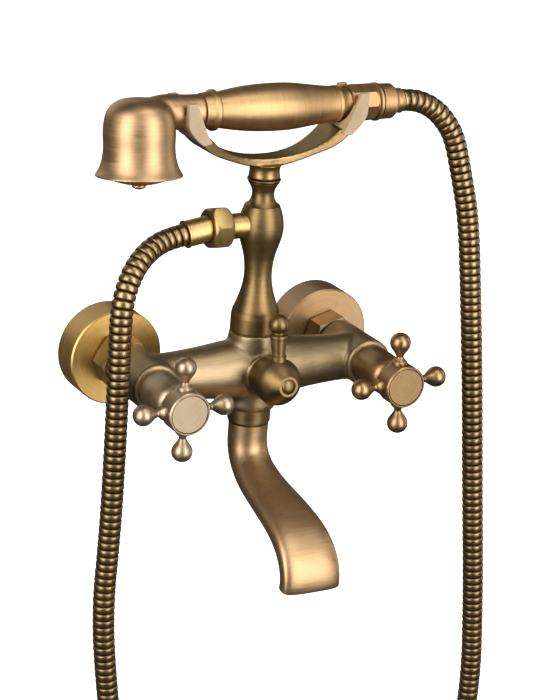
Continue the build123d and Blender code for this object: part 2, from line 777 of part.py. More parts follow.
def make_hose():
    path = hose_path()
    start = Plane(origin=path @ 0, z_dir=path % 0)
    tube = sweep(start * Circle(hose_r), path=path)
    print("hose length:", round(path.length, 1), "section times length:", round(math.pi * hose_r ** 2 * path.length),
          "volume:", round(tube.volume))
    return tube


# ---- all nodes -----------------------------------------------------------------------------------


def build():
    walls = [outward(x) for x in side_places.values()]
    nodes = {
        "left_flange": walls[0] * make_flange(),
        "right_flange": walls[1] * make_flange(),
        "eccentric_unions": group(place * make_eccentric_union() for place in walls),
        "union_washers": group(
            place * ring(three_quarter_r - gap, tail_bore_r + 0.6, union_front, tail_collar_back) for place in walls
        ),
        "union_nuts": group(place * make_union_nut(turn) for place, turn in zip(walls, union_nut_turn)),
        "inlet_tails": group(place * make_inlet_tail() for place in walls),
        "valve_body": make_valve_body(),
        "seat_seals": group(place * ring(disc_r, 5.6, seal_back, fixed_disc_back) for place in walls),
        "fixed_discs": group(place * make_disc(fixed_disc_back) for place in walls),
    }
    for name, place, turn in zip(("hot", "cold"), walls, handle_turn):
        turned = place * Rot(0, 0, turn)
        nodes[f"{name}_cartridge"] = place * make_cartridge()
        nodes[f"{name}_bonnet"] = place * make_bonnet()
        nodes[f"{name}_moving_disc"] = turned * make_disc(moving_disc_back)
        nodes[f"{name}_spindle"] = turned * make_spindle()
        nodes[f"{name}_handle_hub"] = turned * make_hub()
        nodes[f"{name}_handle_spokes"] = group(turned * spoke for spoke in make_spokes())
        nodes[f"{name}_handle_screw"] = turned * make_handle_screw()
        nodes[f"{name}_index_cap"] = turned * make_cap()
    nodes["diverter_gland"] = diverter_base * make_gland()
    nodes["diverter_knob"] = diverter_base * make_diverter_knob()
    nodes["diverter_lever"] = diverter_base * make_lever()
    nodes["diverter_button"] = diverter_base * make_diverter_button()
    nodes["diverter_spool"] = diverter_base * make_spool()
    nodes["diverter_o_rings"] = group(diverter_base * o_ring(spool_r - 0.65, 0.65, h) for h in (-17.2, -5.8))
    nodes["swivel_nut"] = upright * make_swivel_nut()
    nodes["spout"] = make_spout()
    nodes["spout_clip"] = upright * ring(nipple_r - 0.6, spout_tail_r - 0.6, clip_top - 1.2, clip_top)
    nodes["spout_o_rings"] = group(upright * o_ring(spout_tail_r - 0.4, 0.7, h) for h in tail_ring_heights)
    nodes["column_collar"] = upright * make_collar()
    nodes["column"] = upright * make_column()
    nodes["column_o_ring"] = upright * o_ring(shank_r - 0.6, 0.58, shank_bottom + 2.8)
    nodes["column_neck"] = upright * make_neck()
    nodes["outlet_nipple"] = outlet * make_outlet_nipple()
    nodes["check_valve"] = group(outlet * piece for piece in make_check_valve())
    nodes["column_hose_washer"] = outlet * ring(hose_thread_r - 0.4, 5.2, thread_end, flange_start)
    nodes["column_hose_nut"] = outlet * make_column_hose_nut()
    nodes["column_ferrule"] = outlet * make_column_ferrule()
    nodes["cradle"] = upright * make_cradle()
    nodes["cradle_stud"] = upright * rod(stud_r, neck_top - 7.6, cradle_z - 2.4)
    for side, sign in {"left": -1, "right": 1}.items():
        nodes[f"{side}_fork_liner"] = upright * make_liner(sign)
    nodes["shower_head"] = make_shower_head()
    nodes["spray_face"] = bell * make_spray_face()
    nodes["spray_screw"] = bell * make_spray_screw()
    nodes["handset_collar"] = along * make_handset_collar()
    nodes["handset_handle"] = along * make_handle()
    nodes["handset_tail"] = along * make_handset_tail()
    nodes["handset_hose_nut"] = along * make_handset_nut()
    nodes["handset_hose_washer"] = along * ring(8.6, 4.4, 66.0, 68.0)
    nodes["swivel_ring"] = along * make_swivel_ring()
    nodes["swivel_body"] = along * make_swivel_body()
    nodes["handset_ferrule"] = along * make_handset_ferrule()
    nodes["hose"] = make_hose()
    return nodes


os.makedirs("parts", exist_ok=True)
for node, shape in build().items():
    export_step(shape, f"parts/{node}.step")
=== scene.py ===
import bpy, math
from mathutils import Matrix, Vector


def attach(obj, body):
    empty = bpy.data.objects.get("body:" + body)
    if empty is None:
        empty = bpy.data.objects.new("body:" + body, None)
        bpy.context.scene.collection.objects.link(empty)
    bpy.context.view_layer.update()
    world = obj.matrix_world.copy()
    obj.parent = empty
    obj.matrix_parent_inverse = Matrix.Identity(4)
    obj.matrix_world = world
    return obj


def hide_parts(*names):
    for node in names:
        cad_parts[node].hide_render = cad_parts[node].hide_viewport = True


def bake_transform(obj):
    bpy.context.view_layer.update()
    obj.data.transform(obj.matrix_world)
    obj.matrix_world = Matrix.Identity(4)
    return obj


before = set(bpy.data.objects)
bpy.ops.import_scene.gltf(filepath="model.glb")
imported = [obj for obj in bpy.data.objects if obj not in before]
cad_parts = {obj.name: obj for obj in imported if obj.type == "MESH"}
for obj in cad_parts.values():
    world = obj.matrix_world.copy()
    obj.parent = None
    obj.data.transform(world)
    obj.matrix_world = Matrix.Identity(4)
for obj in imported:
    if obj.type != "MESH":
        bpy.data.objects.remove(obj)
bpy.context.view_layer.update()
valveRise = 0.005      # the valves sit this far above the wall threads
bodyReach = 0.062      # from the wall to the body's own axis
sideX = 0.075          # half the spacing of the two inlets
outletZ = 0.094 + valveRise            # the hose outlet's axis, on the column
handsetZ = 0.1682 + valveRise
bellX = -0.087
diverterPlace = (0, -0.0825, 0.0055)
diverterTilt = math.radians(6.0)
handsetTilt = math.radians(0.7)
headLean = math.radians(7.0)
mm = 0.001
quarter = math.pi / 2

cameraSet = {
    # metres, and directions in the object's own frame
    "place": (-0.73035, -1.39271, 0.54845),
    "right": (0.88209, -0.46676, 0.06364),
    "up": (0.10183, 0.32083, 0.94165),
    "forward": (0.45995, 0.82414, -0.33053),
    "lens": 131.475,
}


def makeCamera():
    data = bpy.data.cameras.new("Camera")
    camera = bpy.data.objects.new("Camera", data)
    bpy.context.scene.collection.objects.link(camera)
    right, up = Vector(cameraSet["right"]), Vector(cameraSet["up"])
    turn = Matrix((right, up, -Vector(cameraSet["forward"]))).transposed().to_4x4()
    camera.matrix_world = Matrix.Translation(cameraSet["place"]) @ turn
    data.sensor_fit = "AUTO"
    data.sensor_width = 36.0
    data.lens = cameraSet["lens"]
    data.clip_end = 50.0
    bpy.context.scene.camera = camera


makeCamera()
print("camera done")


class Knob:
    # a socket that can be used in a Python expression
    def __init__(self, maker, socket):
        self.maker, self.socket = maker, socket

    def maths(self, operation, first, second=0.0):
        return self.maker.node("ShaderNodeMath", {"operation": operation}, {0: first, 1: second})

    def __add__(self, other):
        return self.maths("ADD", self, other)

    def __radd__(self, other):
        return self.maths("ADD", other, self)

    def __sub__(self, other):
        return self.maths("SUBTRACT", self, other)

    def __rsub__(self, other):
        return self.maths("SUBTRACT", other, self)

    def __mul__(self, other):
        return self.maths("MULTIPLY", self, other)

    def __rmul__(self, other):
        return self.maths("MULTIPLY", other, self)

    def __pow__(self, other):
        return self.maths("POWER", self, other)

    def clamped(self, low, high):
        return self.maker.node("ShaderNodeMapRange", {"clamp": True},
                               {0: self, 1: low, 2: high, 3: 0.0, 4: 1.0})


class Finish:
    # builds one material
    def __init__(self, name):
        self.material = bpy.data.materials.new(name)
        self.material.use_nodes = True
        self.tree = self.material.node_tree
        self.tree.nodes.clear()
        self.shader = self.tree.nodes.new("ShaderNodeBsdfPrincipled")
        out = self.tree.nodes.new("ShaderNodeOutputMaterial")
        self.tree.links.new(self.shader.outputs[0], out.inputs[0])

    def node(self, kind, settings=None, values=None, output=0):
        made = self.tree.nodes.new(kind)
        for key, value in (settings or {}).items():
            if key == "stops":
                ramp = made.color_ramp
                while len(ramp.elements) < len(value):
                    ramp.elements.new(0.5)
                for element, (place, colour) in zip(ramp.elements, value):
                    element.position, element.color = place, (*colour, 1.0)
            else:
                setattr(made, key, value)
        for key, value in (values or {}).items():
            self.put(made.inputs[key], value)
        return Knob(self, made.outputs[output])

    def put(self, socket, value):
        if isinstance(value, Knob):
            self.tree.links.new(value.socket, socket)
        elif isinstance(value, (tuple, list)) and len(value) == 3 and len(socket.default_value) == 4:
            socket.default_value = (*value, 1.0)
        else:
            socket.default_value = value

    def surface(self, **values):
        for key, value in values.items():
            self.put(self.shader.inputs[key.replace("_", " ")], value)

    def noise(self, vector, scale, detail=3.0, roughness=0.55):
        return self.node("ShaderNodeTexNoise", {}, {"Vector": vector, "Scale": scale, "Detail": detail,
                                                    "Roughness": roughness})

    def blendColour(self, factor, first, second, kind="MIX"):
        made = self.tree.nodes.new("ShaderNodeMix")
        made.data_type = "RGBA"
        made.blend_type = kind
        for key, value in ((0, factor), (6, first), (7, second)):
            self.put(made.inputs[key], value)
        return Knob(self, made.outputs[2])


brassTones = {
    "body": {"light": (0.46, 0.355, 0.215), "dark": (0.085, 0.054, 0.022), "rough": 0.47},
    "column": {"light": (0.31, 0.215, 0.10), "dark": (0.060, 0.036, 0.012), "rough": 0.46},
    "handset": {"light": (0.60, 0.40, 0.205), "dark": (0.17, 0.095, 0.030), "rough": 0.47},
    "bell": {"light": (0.60, 0.41, 0.235), "dark": (0.15, 0.088, 0.034), "rough": 0.47},
    "golden": {"light": (0.72, 0.49, 0.19), "dark": (0.26, 0.15, 0.042), "rough": 0.47},
    "cold": {"light": (0.46, 0.31, 0.165), "dark": (0.085, 0.045, 0.016), "rough": 0.42},
    "hot": {"light": (0.55, 0.43, 0.30), "dark": (0.11, 0.070, 0.036), "rough": 0.45},
    "nut": {"light": (0.58, 0.41, 0.18), "dark": (0.11, 0.062, 0.018), "rough": 0.42},
    "cradle": {"light": (0.42, 0.29, 0.13), "dark": (0.055, 0.032, 0.010), "rough": 0.42},
    "hose": {"light": (0.37, 0.26, 0.135), "dark": (0.016, 0.009, 0.003), "rough": 0.38},
    "bare": {"light": (0.72, 0.50, 0.24), "dark": (0.45, 0.28, 0.11), "rough": 0.30},
}
materialStore = {}


def antiqueBrass(name, tone, centre=(0, 0, 0), turn=(0, 0, 0), pattern="turned", lines=950.0):
    # centre and turn bring the piece's own axis onto Z; the brush marks run round it, or along X
    if name in materialStore:
        return materialStore[name]
    look = brassTones[tone]
    f = Finish(name)
    place = f.node("ShaderNodeTexCoord", {}, {}, 3)
    forward = Matrix.Translation(centre)
    for axis, angle in zip("ZYX", reversed(turn)):
        forward = forward @ Matrix.Rotation(angle, 4, axis)
    inverse = forward.inverted()
    angles = inverse.to_euler("XYZ")
    local = f.node("ShaderNodeMapping", {"vector_type": "POINT"},
                   {"Vector": place, "Location": tuple(inverse.translation), "Rotation": tuple(angles)})
    split = f.node("ShaderNodeSeparateXYZ", {}, {0: local})
    x, y, z = (Knob(f, split.socket.node.outputs[i]) for i in range(3))
    if pattern == "turned":
        radius = (x * x + y * y) ** 0.5
        marks = f.node("ShaderNodeCombineXYZ", {}, {0: x * 60.0, 1: y * 60.0, 2: (z + radius) * lines})
    else:
        marks = f.node("ShaderNodeCombineXYZ", {}, {0: x * 45.0, 1: y * lines, 2: z * lines})
    fine = f.noise(marks, 1.0, 3.0, 0.6)
    broad = f.noise(place, 26.0, 4.0, 0.6)
    cloud = f.noise(place, 95.0, 5.0, 0.62)
    # painted shade: ambient occlusion darkens the colour in corners, creases and hollows between parts
    hollow = f.node("ShaderNodeAmbientOcclusion", {"only_local": True, "samples": 6},
                    {"Distance": 0.006}, 1)
    paintedShade = (hollow ** 1.6).clamped(0.15, 0.95)
    # the colour mixes this painted shade with random tone noise and the brush marks
    toneAndShade = (paintedShade * 0.70 + broad * 0.34 + cloud * 0.20 + fine * 0.62 - 0.42).clamped(0.0, 1.0)
    colour = f.blendColour(toneAndShade, look["dark"], look["light"])
    rough = look["rough"] + (fine - 0.5) * 0.22 + (cloud - 0.5) * 0.10 + (1.0 - paintedShade) * 0.15
    bump = f.node("ShaderNodeBump", {},
                  {"Strength": 0.4, "Distance": 0.00016, "Height": fine + cloud * 0.5})
    f.surface(Base_Color=colour, Metallic=1.0, Roughness=rough, Normal=bump)
    materialStore[name] = f.material
    return f.material


plainTones = {
    "cartridgePlastic": {"light": (0.5, 0.5, 0.52), "dark": (0.4, 0.4, 0.42), "rough": 0.5},
    "lappedCeramic": {"light": (0.85, 0.83, 0.78), "dark": (0.75, 0.73, 0.68), "rough": 0.15},
    "screwSteel": {"light": (0.6, 0.6, 0.62), "dark": (0.45, 0.45, 0.47), "rough": 0.3, "metallic": 1.0},
    "sealRubber": {"light": (0.03, 0.03, 0.03), "dark": (0.015, 0.015, 0.015), "rough": 0.7},
    "linerPlastic": {"light": (0.56, 0.43, 0.28), "dark": (0.40, 0.29, 0.17), "rough": 0.40, "scale": 120.0,
                     "through": 0.3},
}


def plainFinish(name):
    if name in materialStore:
        return materialStore[name]
    look = plainTones[name]
    scale = look.get("scale", 300.0)
    f = Finish(name)
    place = f.node("ShaderNodeTexCoord", {}, {}, 3)
    speck = f.noise(place, scale, 4.0, 0.6)
    cloud = f.noise(place, scale * 0.12, 3.0)
    colour = f.blendColour((speck * 0.5 + cloud * 0.5).clamped(0.3, 0.7), look["dark"], look["light"])
    bump = f.node("ShaderNodeBump", {}, {"Strength": 0.25, "Distance": 0.00008, "Height": speck})
    f.surface(Base_Color=colour, Metallic=look.get("metallic", 0.0), Normal=bump,
              Roughness=look["rough"] + (speck - 0.5) * 0.2)
    if "through" in look:     # a little light passes through it
        f.surface(Subsurface_Weight=look["through"], Subsurface_Radius=(0.006, 0.005, 0.004),
                  Subsurface_Scale=1.0)
    materialStore[name] = f.material
    return f.material


hoseSet = {
    "route": [
        (-52.303, -62.0, 91.497), (-61.2, -62.0, 90.1), (-72.4, -64.3, 87.5), (-85.6, -70.2, 81.2),
        (-95.4, -75.8, 70.1),
        (-101.5, -79.9, 53.7), (-101.7, -80.9, 21.8), (-101.5, -80.5, -32.0), (-101.0, -78.0, -90.0),
        (-103.0, -75.5, -150.0), (-94.5, -73.0, -215.0), (-83.0, -72.0, -285.0), (-66.0, -71.0, -360.0),
        (-36.0, -70.5, -435.0), (14.0, -70.0, -502.0), (84.0, -70.0, -508.0), (132.0, -71.5, -460.0),
        (159.0, -74.0, -390.0), (172.0, -77.0, -320.0), (178.5, -79.5, -250.0), (172.5, -80.5, -180.0),
        (163.5, -80.5, -100.0), (156.0, -79.0, -22.0), (150.3, -76.0, 38.0), (145.2, -73.3, 88.2),
        (138.1, -69.7, 120.2), (132.9, -66.4, 142.7), (124.5, -64.3, 154.7), (117.1, -63.1, 161.0),
        (109.4, -62.4, 164.9), (101.2, -62.0, 166.97), (92.793, -62.0, 167.066),
    ],
    "pitch": 0.0049,
    "radius": 0.0070,
    "sides": 28,
    # along one rib: how far along, and the radius against the full one
    "rib": [(0.0, 0.85), (0.07, 0.855), (0.12, 0.962), (0.24, 0.994), (0.50, 1.0), (0.76, 0.994),
            (0.88, 0.962), (0.94, 0.86)],
}


def hoseLine():
    data = bpy.data.curves.new("HoseLine", "CURVE")
    data.dimensions = "3D"
    spline = data.splines.new("NURBS")
    route = hoseSet["route"]
    spline.points.add(len(route) - 1)
    for point, (x, y, z) in zip(spline.points, route):
        point.co = (x * mm, y * mm, z * mm + valveRise, 1.0)
    spline.order_u = 3
    spline.use_endpoint_u = True
    spline.resolution_u = 24
    guide = bpy.data.objects.new("HoseLine", data)
    bpy.context.scene.collection.objects.link(guide)
    bpy.context.view_layer.update()
    mesh = bpy.data.meshes.new_from_object(guide)
    points = [v.co.copy() for v in mesh.vertices]
    bpy.data.objects.remove(guide)
    bpy.data.meshes.remove(mesh)
    return points


def evenly(points, step):
    # points along the line at given distances from its start
    lengths = [0.0]
    for a, b in zip(points, points[1:]):
        lengths.append(lengths[-1] + (b - a).length)
    total = lengths[-1]
    places, index = [], 0
    for distance in step(total):
        while index < len(points) - 2 and lengths[index + 1] < distance:
            index += 1
        span = max(lengths[index + 1] - lengths[index], 1e-9)
        share = (distance - lengths[index]) / span
        places.append(points[index].lerp(points[index + 1], share))
    return places, total


def makeHose():
    line = hoseLine()

    def stations(total):
        count = round(total / hoseSet["pitch"])
        pitch = total / count
        return [(i + along) * pitch for i in range(count) for along, _ in hoseSet["rib"]] + [total]

    places, total = evenly(line, stations)
    scales = [scale for _ in range((len(places) - 1) // len(hoseSet["rib"])) for _, scale in hoseSet["rib"]]
    scales.append(hoseSet["rib"][0][1])
    sides, radius = hoseSet["sides"], hoseSet["radius"]
    heading = (places[1] - places[0]).normalized()
    across = heading.orthogonal().normalized()
    verts, faces = [], []
    for i, (centre, scale) in enumerate(zip(places, scales)):
        ahead = places[min(i + 2, len(places) - 1)] - places[max(i - 2, 0)]
        ahead.normalize()
        across = (across - ahead * across.dot(ahead)).normalized()
        other = ahead.cross(across)
        for k in range(sides):
            angle = 2 * math.pi * k / sides
            verts.append(centre + (across * math.cos(angle) + other * math.sin(angle)) * radius * scale)
    for i in range(len(places) - 1):
        for k in range(sides):
            a, b = i * sides + k, i * sides + (k + 1) % sides
            faces.append((a, b, b + sides, a + sides))
    faces.append(tuple(range(sides))[::-1])
    faces.append(tuple(range((len(places) - 1) * sides, len(places) * sides)))
    mesh = bpy.data.meshes.new("RibbedHose")
    mesh.from_pydata([tuple(v) for v in verts], [], faces)
    mesh.update()
    depth = mesh.attributes.new("ribHeight", "FLOAT", "POINT")
    depth.data.foreach_set("value", [(scale - 0.84) / 0.16 for scale in scales for _ in range(sides)])
    hose = bpy.data.objects.new("RibbedHose", mesh)
    bpy.context.scene.collection.objects.link(hose)
    for polygon in mesh.polygons:
        polygon.use_smooth = True
    mesh.materials.append(hoseFinish())
    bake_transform(hose)
    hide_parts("hose")
    print("hose length", round(total, 4), "ribs", len(places) // len(hoseSet["rib"]))


def hoseFinish():
    look = brassTones["hose"]
    f = Finish("hoseBrass")
    place = f.node("ShaderNodeTexCoord", {}, {}, 3)
    height = f.node("ShaderNodeAttribute", {"attribute_name": "ribHeight"}, {}, 2)
    cloud = f.noise(place, 140.0, 4.0)
    broad = f.noise(place, 18.0, 3.0)
    grain = f.noise(place, 900.0, 2.0)
    # painted shade: the grooves between ribs are painted near black and the rib crests light
    paintedShade = height.clamped(0.05, 0.95) * 0.95
    # the colour mixes this painted groove shade with random tone noise
    toneAndShade = (paintedShade + cloud * 0.28 + broad * 0.32 + grain * 0.12 - 0.36).clamped(0.0, 1.0)
    colour = f.blendColour(toneAndShade, look["dark"], look["light"])
    rough = look["rough"] + (1.0 - height.clamped(0.0, 1.0)) * 0.25 + (cloud - 0.5) * 0.15
    bump = f.node("ShaderNodeBump", {}, {"Strength": 0.2, "Distance": 0.0001, "Height": grain + cloud})
    f.surface(Base_Color=colour, Metallic=1.0, Roughness=rough, Normal=bump)
    return f.material


makeHose()
print("hose done")

nodeFinish = {}


def giveFinish(names, finish):
    # noted here, put on once every new piece is made
    for name in names:
        nodeFinish[name] = finish


towardsRoom = (quarter, 0, 0)
for side, sign in (("left", -1), ("right", 1)):
    centre = (sign * sideX, 0, valveRise)
    tone = "golden" if side == "left" else "bell"
    giveFinish([f"{side}_flange"], antiqueBrass(f"{side}FlangeBrass", tone, centre, towardsRoom))
    valve = "hot" if side == "left" else "cold"
    turned = antiqueBrass(f"{valve}TurnedBrass", valve, centre, towardsRoom)
    giveFinish([f"{valve}_{part}" for part in ("bonnet", "handle_hub", "index_cap", "handle_spokes")], turned)
    giveFinish([f"{valve}_cartridge"], plainFinish("cartridgePlastic"))
    giveFinish([f"{valve}_moving_disc"], plainFinish("lappedCeramic"))
    giveFinish([f"{valve}_spindle"], antiqueBrass(f"{valve}SpindleBrass", "bare", centre, towardsRoom))
    giveFinish([f"{valve}_handle_screw"], plainFinish("screwSteel"))
wallCentre = (0, 0, valveRise)
giveFinish(["union_nuts"], antiqueBrass("unionNutBrass", "body", wallCentre, towardsRoom, "drawn"))
giveFinish(["eccentric_unions", "inlet_tails"],
           antiqueBrass("unionBrass", "bare", wallCentre, towardsRoom, "drawn"))
giveFinish(["union_washers", "seat_seals", "diverter_o_rings", "spout_o_rings", "column_o_ring",
            "column_hose_washer", "handset_hose_washer"], plainFinish("sealRubber"))
giveFinish(["fixed_discs"], plainFinish("lappedCeramic"))
giveFinish(["check_valve"], plainFinish("cartridgePlastic"))
giveFinish(["spout_clip", "cradle_stud"], plainFinish("screwSteel"))
giveFinish(["left_fork_liner", "right_fork_liner"], plainFinish("linerPlastic"))
uprightCentre = (0, -bodyReach, 0)
bodyCentre = (0, -bodyReach, valveRise)
giveFinish(["valve_body"], antiqueBrass("bodyBrass", "body", bodyCentre, (0, 0, 0), "drawn"))
giveFinish(["column", "column_collar", "column_neck", "swivel_nut"],
           antiqueBrass("uprightBrass", "column", uprightCentre))
giveFinish(["spout"], antiqueBrass("spoutBrass", "bell", uprightCentre, (0, 0, 0), "drawn"))
giveFinish(["cradle"], antiqueBrass("cradleBrass", "cradle", uprightCentre, (0, 0, 0), "drawn"))
diverterTurn = (quarter - diverterTilt, 0, 0)
giveFinish(["diverter_knob", "diverter_lever", "diverter_button"],
           antiqueBrass("diverterBrass", "column", diverterPlace, diverterTurn))
giveFinish(["diverter_spool", "diverter_gland"],
           antiqueBrass("spoolBrass", "bare", diverterPlace, diverterTurn))
giveFinish(["outlet_nipple", "column_hose_nut", "column_ferrule"],
           antiqueBrass("outletBrass", "nut", (0, -bodyReach, outletZ), (0, quarter, 0)))
giveFinish(["handset_handle", "handset_collar", "handset_tail", "handset_hose_nut", "swivel_ring",
            "swivel_body", "handset_ferrule"],
           antiqueBrass("handsetBrass", "handset", (0, -bodyReach, handsetZ), (0, quarter + handsetTilt, 0)))
giveFinish(["shower_head", "spray_face", "spray_screw"],
           antiqueBrass("bellBrass", "bell", (bellX, -bodyReach, handsetZ), (-headLean, 0, 0)))


def pick(piece):
    # only this piece is selected and active
    if bpy.context.mode != "OBJECT":
        bpy.ops.object.mode_set(mode="OBJECT")
    bpy.ops.object.select_all(action="DESELECT")
    piece.select_set(True)
    bpy.context.view_layer.objects.active = piece


def settle(piece, body, node, angle=35.0):
    # the last steps of every new piece, which stands for one CAD node
    pick(piece)
    bpy.ops.object.mode_set(mode="EDIT")
    bpy.ops.mesh.select_all(action="SELECT")
    bpy.ops.mesh.remove_doubles(threshold=0.000005)
    bpy.ops.mesh.normals_make_consistent(inside=False)
    bpy.ops.object.mode_set(mode="OBJECT")
    bpy.ops.object.shade_smooth_by_angle(angle=math.radians(angle))
    piece.data.materials.clear()
    piece.data.materials.append(nodeFinish[node])
    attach(piece, body)
    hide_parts(node)


def ownCopy(node, name):
    # a merged copy of a CAD piece, to be worked on
    piece = bpy.data.objects.new(name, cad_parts[node].data.copy())
    bpy.context.scene.collection.objects.link(piece)
    pick(piece)
    bpy.ops.object.mode_set(mode="EDIT")
    bpy.ops.mesh.select_all(action="SELECT")
    bpy.ops.mesh.remove_doubles(threshold=0.000002)
    bpy.ops.object.mode_set(mode="OBJECT")
    return piece


def finishWith(piece, kind, **settings):
    pick(piece)
    modifier = piece.modifiers.new(kind.title(), kind)
    for key, value in settings.items():
        setattr(modifier, key, value)
    bpy.ops.object.modifier_apply(modifier=modifier.name)


def drawnLine(name, places):
    # a plane is merged to a point, which is drawn through the places; left in edit mode
    bpy.ops.object.select_all(action="DESELECT")
    bpy.ops.mesh.primitive_plane_add(size=0.001, location=(0, 0, 0))
    piece = bpy.context.object
    piece.name = piece.data.name = name
    bpy.ops.object.mode_set(mode="EDIT")
    bpy.ops.mesh.select_all(action="SELECT")
    bpy.ops.mesh.merge(type="CENTER")
    bpy.ops.transform.translate(value=places[0])
    for here, there in zip(places, places[1:]):
        bpy.ops.mesh.extrude_region_move(TRANSFORM_OT_translate={"value": there - here})
    bpy.ops.mesh.select_all(action="SELECT")
    return piece


def turnedPiece(name, profile, place, steps=72):
    # a profile of (radius, height) in mm is spun round Z and then put in its place
    piece = drawnLine(name, [Vector((radius * mm, 0, height * mm)) for radius, height in profile])
    bpy.ops.mesh.spin(steps=steps, angle=2 * math.pi, center=(0, 0, 0), axis=(0, 0, 1))
    bpy.ops.mesh.select_all(action="SELECT")
    bpy.ops.mesh.remove_doubles(threshold=0.000005)
    bpy.ops.mesh.normals_make_consistent(inside=False)
    bpy.ops.object.mode_set(mode="OBJECT")
    piece.data.transform(place)
    return piece


def softLine(points, count=6):
    # a smooth line through the points
    line = []
    for i in range(len(points) - 1):
        a, b = points[max(i - 1, 0)], points[i]
        c, d = points[i + 1], points[min(i + 2, len(points) - 1)]
        for k in range(count):
            t = k / count
            line.append(tuple(
                0.5 * (2 * b[j] + (c[j] - a[j]) * t + (2 * a[j] - 5 * b[j] + 4 * c[j] - d[j]) * t * t
                       + (3 * b[j] - a[j] - 3 * c[j] + d[j]) * t ** 3) for j in (0, 1)))
    return line + [points[-1]]


def joined(pieces, name):
    pick(pieces[0])
    for other in pieces[1:]:
        other.select_set(True)
    bpy.ops.object.join()
    piece = bpy.context.object
    piece.name = piece.data.name = name
    return piece


bodySet = {"voxel": 0.00095, "rounds": 14, "ends": {"front": -0.0775, "top": 0.0265, "bottom": -0.0175},
           "back": -0.0420}


def makeBody():
    # the casting: where one arm meets another they flow together, the machined ends are smoothed less
    body = ownCopy("valve_body", "CastBody")
    finishWith(body, "REMESH", mode="VOXEL", voxel_size=bodySet["voxel"], adaptivity=0.0)
    ends = bodySet["ends"]
    inner = [v.index for v in body.data.vertices
             if ends["front"] < v.co.y < bodySet["back"] and ends["bottom"] < v.co.z < ends["top"]]
    body.vertex_groups.new(name="cast").add(inner, 1.0, "REPLACE")
    finishWith(body, "SMOOTH", factor=0.5, iterations=3)
    finishWith(body, "SMOOTH", factor=0.6, iterations=bodySet["rounds"], vertex_group="cast")
    settle(body, "mixer_body", "valve_body", angle=60.0)


bellSet = {
    # radius and height of the outer line, from the crown to the lip, in mm from the handset's axis
    "outer": [(0.0, 9.4), (7.0, 9.2), (12.6, 8.0), (17.2, 5.0), (20.0, 0.6), (21.4, -5.0), (21.9, -11.5),
              (21.6, -19.5), (22.3, -26.5), (24.1, -32.4), (26.4, -36.4)],
    "inner": [(24.6, -37.0), (24.4, -35.0), (22.3, -32.4), (20.4, -26.5), (19.6, -19.5), (19.6, -11.5),
              (18.6, -3.0), (14.0, 4.0), (0.0, 6.4)],
    # radius and distance along the neck, from inside the dome to the collar
    "neck": [(0.0, -88.0), (5.6, -86.6), (9.0, -82.0), (10.9, -72.0), (10.7, -63.0), (10.2, -56.0),
             (10.2, -46.6)],
    "spigot": [(8.6, -46.4), (8.0, -38.0), (0.0, -38.0)],
    "lip": [(26.6, -36.9), (26.2, -37.3)],
    "elbowZ": -0.024,      # below this the turned bell is smoothed less
    "voxel": 0.00062,
}


def makeBell():
    # the bell and its short neck are one casting, so the dome runs level into the neck
    handsetPlace = Matrix.Translation((0, -bodyReach, handsetZ)) @ Matrix.Rotation(handsetTilt, 4, "Y")
    place = handsetPlace @ Matrix.Translation((bellX, 0, 0)) @ Matrix.Rotation(-headLean, 4, "X")
    outline = softLine(bellSet["outer"]) + bellSet["lip"] + bellSet["inner"]
    shell = turnedPiece("BellShell", outline, place, 96)
    along = handsetPlace @ Matrix.Rotation(quarter, 4, "Y")
    neck = turnedPiece("BellNeck", softLine(bellSet["neck"]) + bellSet["spigot"], along, 72)
    bell = joined([shell, neck], "BellHead")
    finishWith(bell, "REMESH", mode="VOXEL", voxel_size=bellSet["voxel"], adaptivity=0.0)
    root = place.inverted()
    inner = [v.index for v in bell.data.vertices if (root @ v.co).z > bellSet["elbowZ"]]
    bell.vertex_groups.new(name="elbow").add(inner, 1.0, "REPLACE")
    finishWith(bell, "SMOOTH", factor=0.5, iterations=3)
    finishWith(bell, "SMOOTH", factor=0.6, iterations=14, vertex_group="elbow")
    settle(bell, "handset", "shower_head", angle=60.0)


nutSet = {"crown": 14.3, "length": 13.0, "turn": 30.0}     # mm, mm and degrees


def makeColumnNut():
    # a hexagon turned off at both ends until arcs bound its flats
    nut = ownCopy("column_hose_nut", "ColumnHoseNut")
    xs = [v.co.x for v in nut.data.vertices]
    middle = Vector(((min(xs) + max(xs)) / 2, -bodyReach, outletZ))
    turn = Matrix.Rotation(math.radians(nutSet["turn"]), 4, "X")
    nut.data.transform(Matrix.Translation(middle) @ turn @ Matrix.Translation(-middle))
    half = nutSet["length"] / 2
    crown = nutSet["crown"]
    blank = turnedPiece("NutBlank", [(0.0, -half - 0.4), (crown - 3.0, -half - 0.4), (crown - 2.6, -half)]
                        + softLine([(crown - 2.5, -half + 0.1), (crown - 0.8, -half * 0.6), (crown, 0.0),
                                    (crown - 0.8, half * 0.6), (crown - 2.5, half - 0.1)])
                        + [(crown - 2.6, half), (crown - 3.0, half + 0.4), (0.0, half + 0.4)],
                        Matrix.Translation(middle) @ Matrix.Rotation(quarter, 4, "Y"), 72)
    finishWith(nut, "BOOLEAN", operation="INTERSECT", object=blank, solver="EXACT")
    bpy.data.objects.remove(blank)
    finishWith(nut, "BEVEL", width=0.0003, segments=2, limit_method="ANGLE", angle_limit=math.radians(28))
    settle(nut, "mixer_body", "column_hose_nut")


